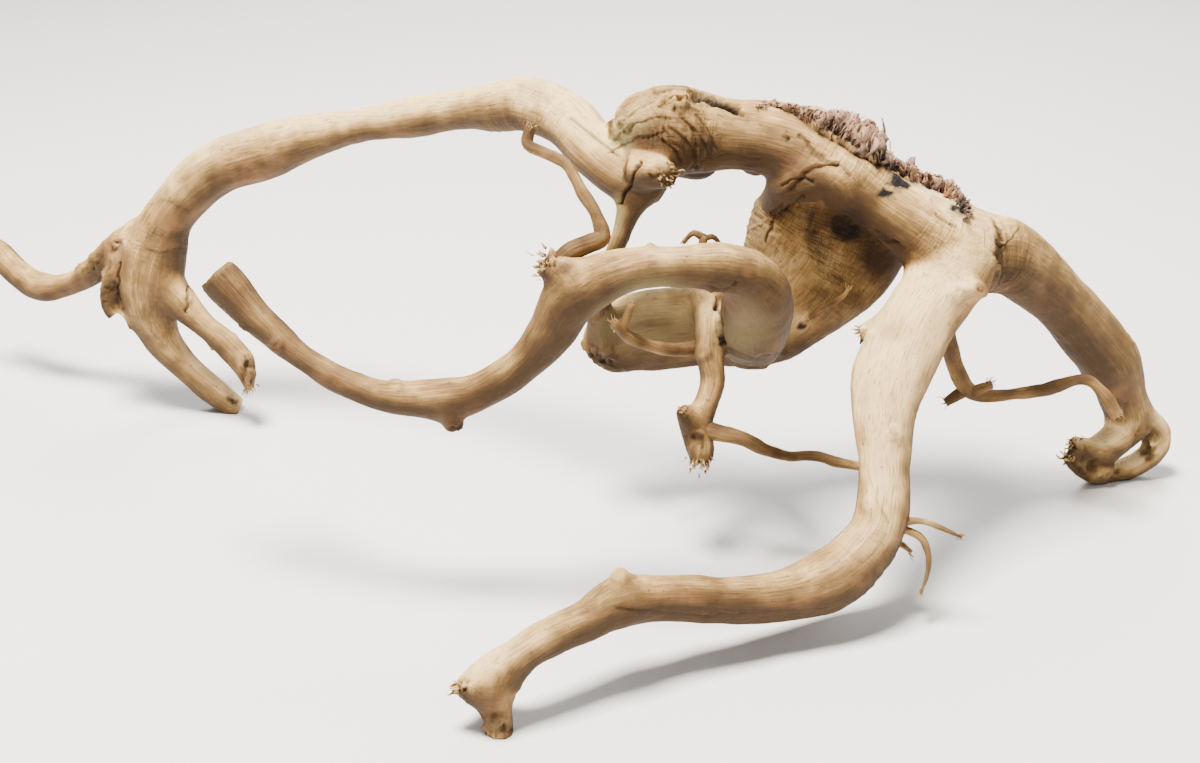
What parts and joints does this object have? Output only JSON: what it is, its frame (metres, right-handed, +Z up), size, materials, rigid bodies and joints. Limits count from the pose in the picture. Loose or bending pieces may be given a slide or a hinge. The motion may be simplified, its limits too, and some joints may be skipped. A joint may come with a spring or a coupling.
{
  "type": "spiderwood root",
  "caption": "Debarked spiderwood root: a gnarled torn crown with arms arching out and down to stand on three low points",
  "frame": {"origin": "under the middle of the root's box, on the surface it stands on", "axes": "+X to the right as seen from the front, +Y to the back, +Z up"},
  "size_m": [0.575, 0.3212, 0.1867],
  "materials": {
    "debarked_wood": "pale cream to tan debarked root wood, satin smooth on the arms, brown in creases and hollows, pinkish grey and fibrous on the torn crest"
  },
  "bodies": {
    "root": {"spiderwood_root": "debarked_wood"}
  },
  "joints": []
}
